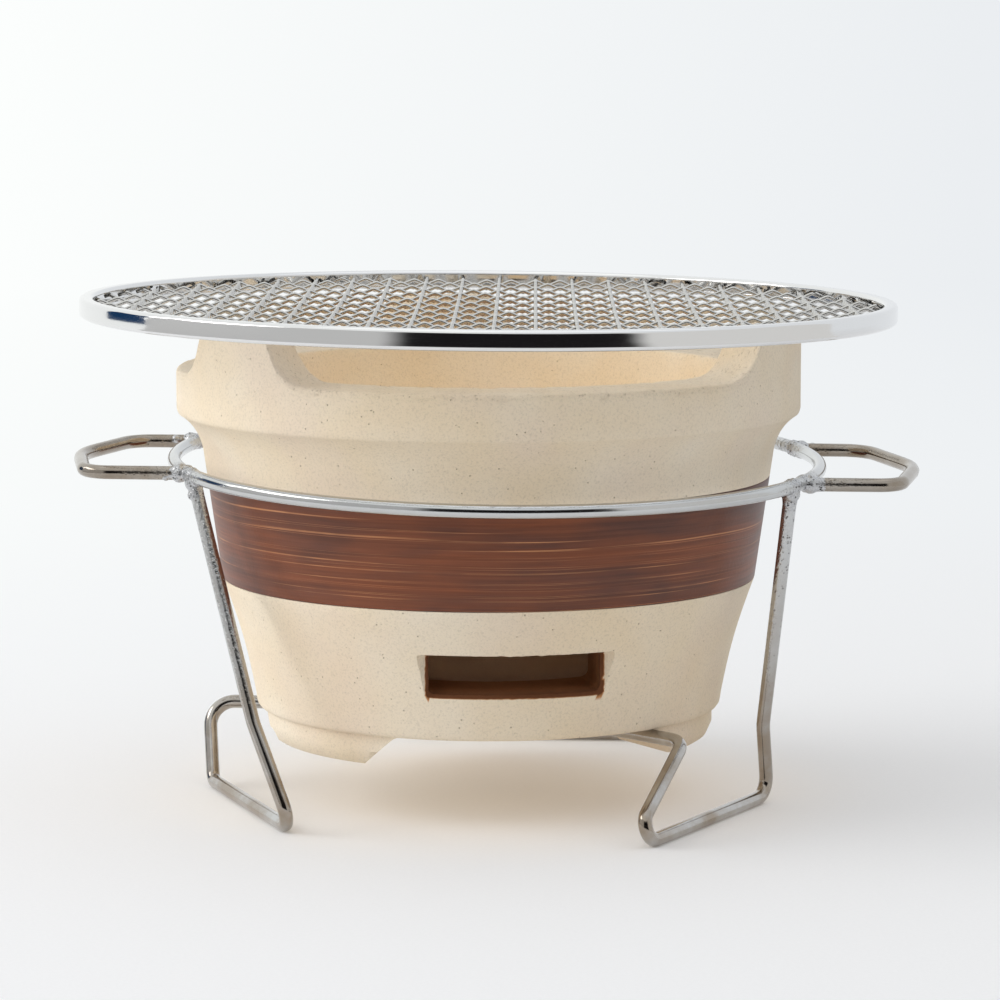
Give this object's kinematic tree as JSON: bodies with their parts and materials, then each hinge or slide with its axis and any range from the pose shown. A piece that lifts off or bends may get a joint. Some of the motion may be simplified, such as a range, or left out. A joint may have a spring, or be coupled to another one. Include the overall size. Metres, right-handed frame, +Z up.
{
  "type": "charcoal brazier",
  "caption": "Table-top charcoal brazier: notched diatomite bowl with a brown band, in a bent-wire carrier with handles and looped legs, under a round woven grill net.",
  "frame": {"origin": "on the table, under the middle of the bounding box, which is the middle of the carrier's ring", "axes": "+Z up; -Y the front, where the air vent opens; +X the right hand of someone who faces it"},
  "size_m": [0.2485, 0.24, 0.148],
  "materials": {
    "diatomite": "matte",
    "woodgrain_film": "satin",
    "fired_clay": "matte",
    "polished_rim": "polished",
    "net_wire": "satin",
    "carrier_wire": "satin"
  },
  "bodies": {
    "carrier": {"carrier_ring": "carrier_wire", "handle_left": "carrier_wire", "handle_right": "carrier_wire", "leg_left": "carrier_wire", "leg_right": "carrier_wire", "leg_rear": "carrier_wire", "bar_weld": "carrier_wire"},
    "bowl": {"bowl": "diatomite", "woodgrain_band": "woodgrain_film"},
    "fire_plate": {"fire_plate": "fired_clay"},
    "net": {"net_rim": "polished_rim", "net_wire_across_01": "net_wire", "net_wire_across_02": "net_wire", "net_wire_across_03": "net_wire", "net_wire_across_04": "net_wire", "net_wire_across_05": "net_wire", "net_wire_across_06": "net_wire", "net_wire_across_07": "net_wire", "net_wire_across_08": "net_wire", "net_wire_across_09": "net_wire", "net_wire_across_10": "net_wire", "net_wire_across_11": "net_wire", "net_wire_across_12": "net_wire", "net_wire_across_13": "net_wire", "net_wire_across_14": "net_wire", "net_wire_across_15": "net_wire", "net_wire_across_16": "net_wire", "net_wire_across_17": "net_wire", "net_wire_across_18": "net_wire", "net_wire_across_19": "net_wire", "net_wire_deep_01": "net_wire", "net_wire_deep_02": "net_wire", "net_wire_deep_03": "net_wire", "net_wire_deep_04": "net_wire", "net_wire_deep_05": "net_wire", "net_wire_deep_06": "net_wire", "net_wire_deep_07": "net_wire", "net_wire_deep_08": "net_wire", "net_wire_deep_09": "net_wire", "net_wire_deep_10": "net_wire", "net_wire_deep_11": "net_wire", "net_wire_deep_12": "net_wire", "net_wire_deep_13": "net_wire", "net_wire_deep_14": "net_wire", "net_wire_deep_15": "net_wire", "net_wire_deep_16": "net_wire", "net_wire_deep_17": "net_wire", "net_wire_deep_18": "net_wire", "net_wire_deep_19": "net_wire"}
  },
  "joints": [
    {"name": "bowl_lift", "type": "slide", "parent": "carrier", "child": "bowl", "axis": [0, 0, 1], "range_m": [0, 0.1]},
    {"name": "net_lift", "type": "slide", "parent": "bowl", "child": "net", "axis": [0, 0, 1], "range_m": [0, 0.2]},
    {"name": "plate_lift", "type": "slide", "parent": "bowl", "child": "fire_plate", "axis": [0, 0, 1], "range_m": [0, 0.12]}
  ],
  "couplings": [
    {"joint": "plate_lift", "follows": "net_lift", "ratio": 0.6}
  ]
}
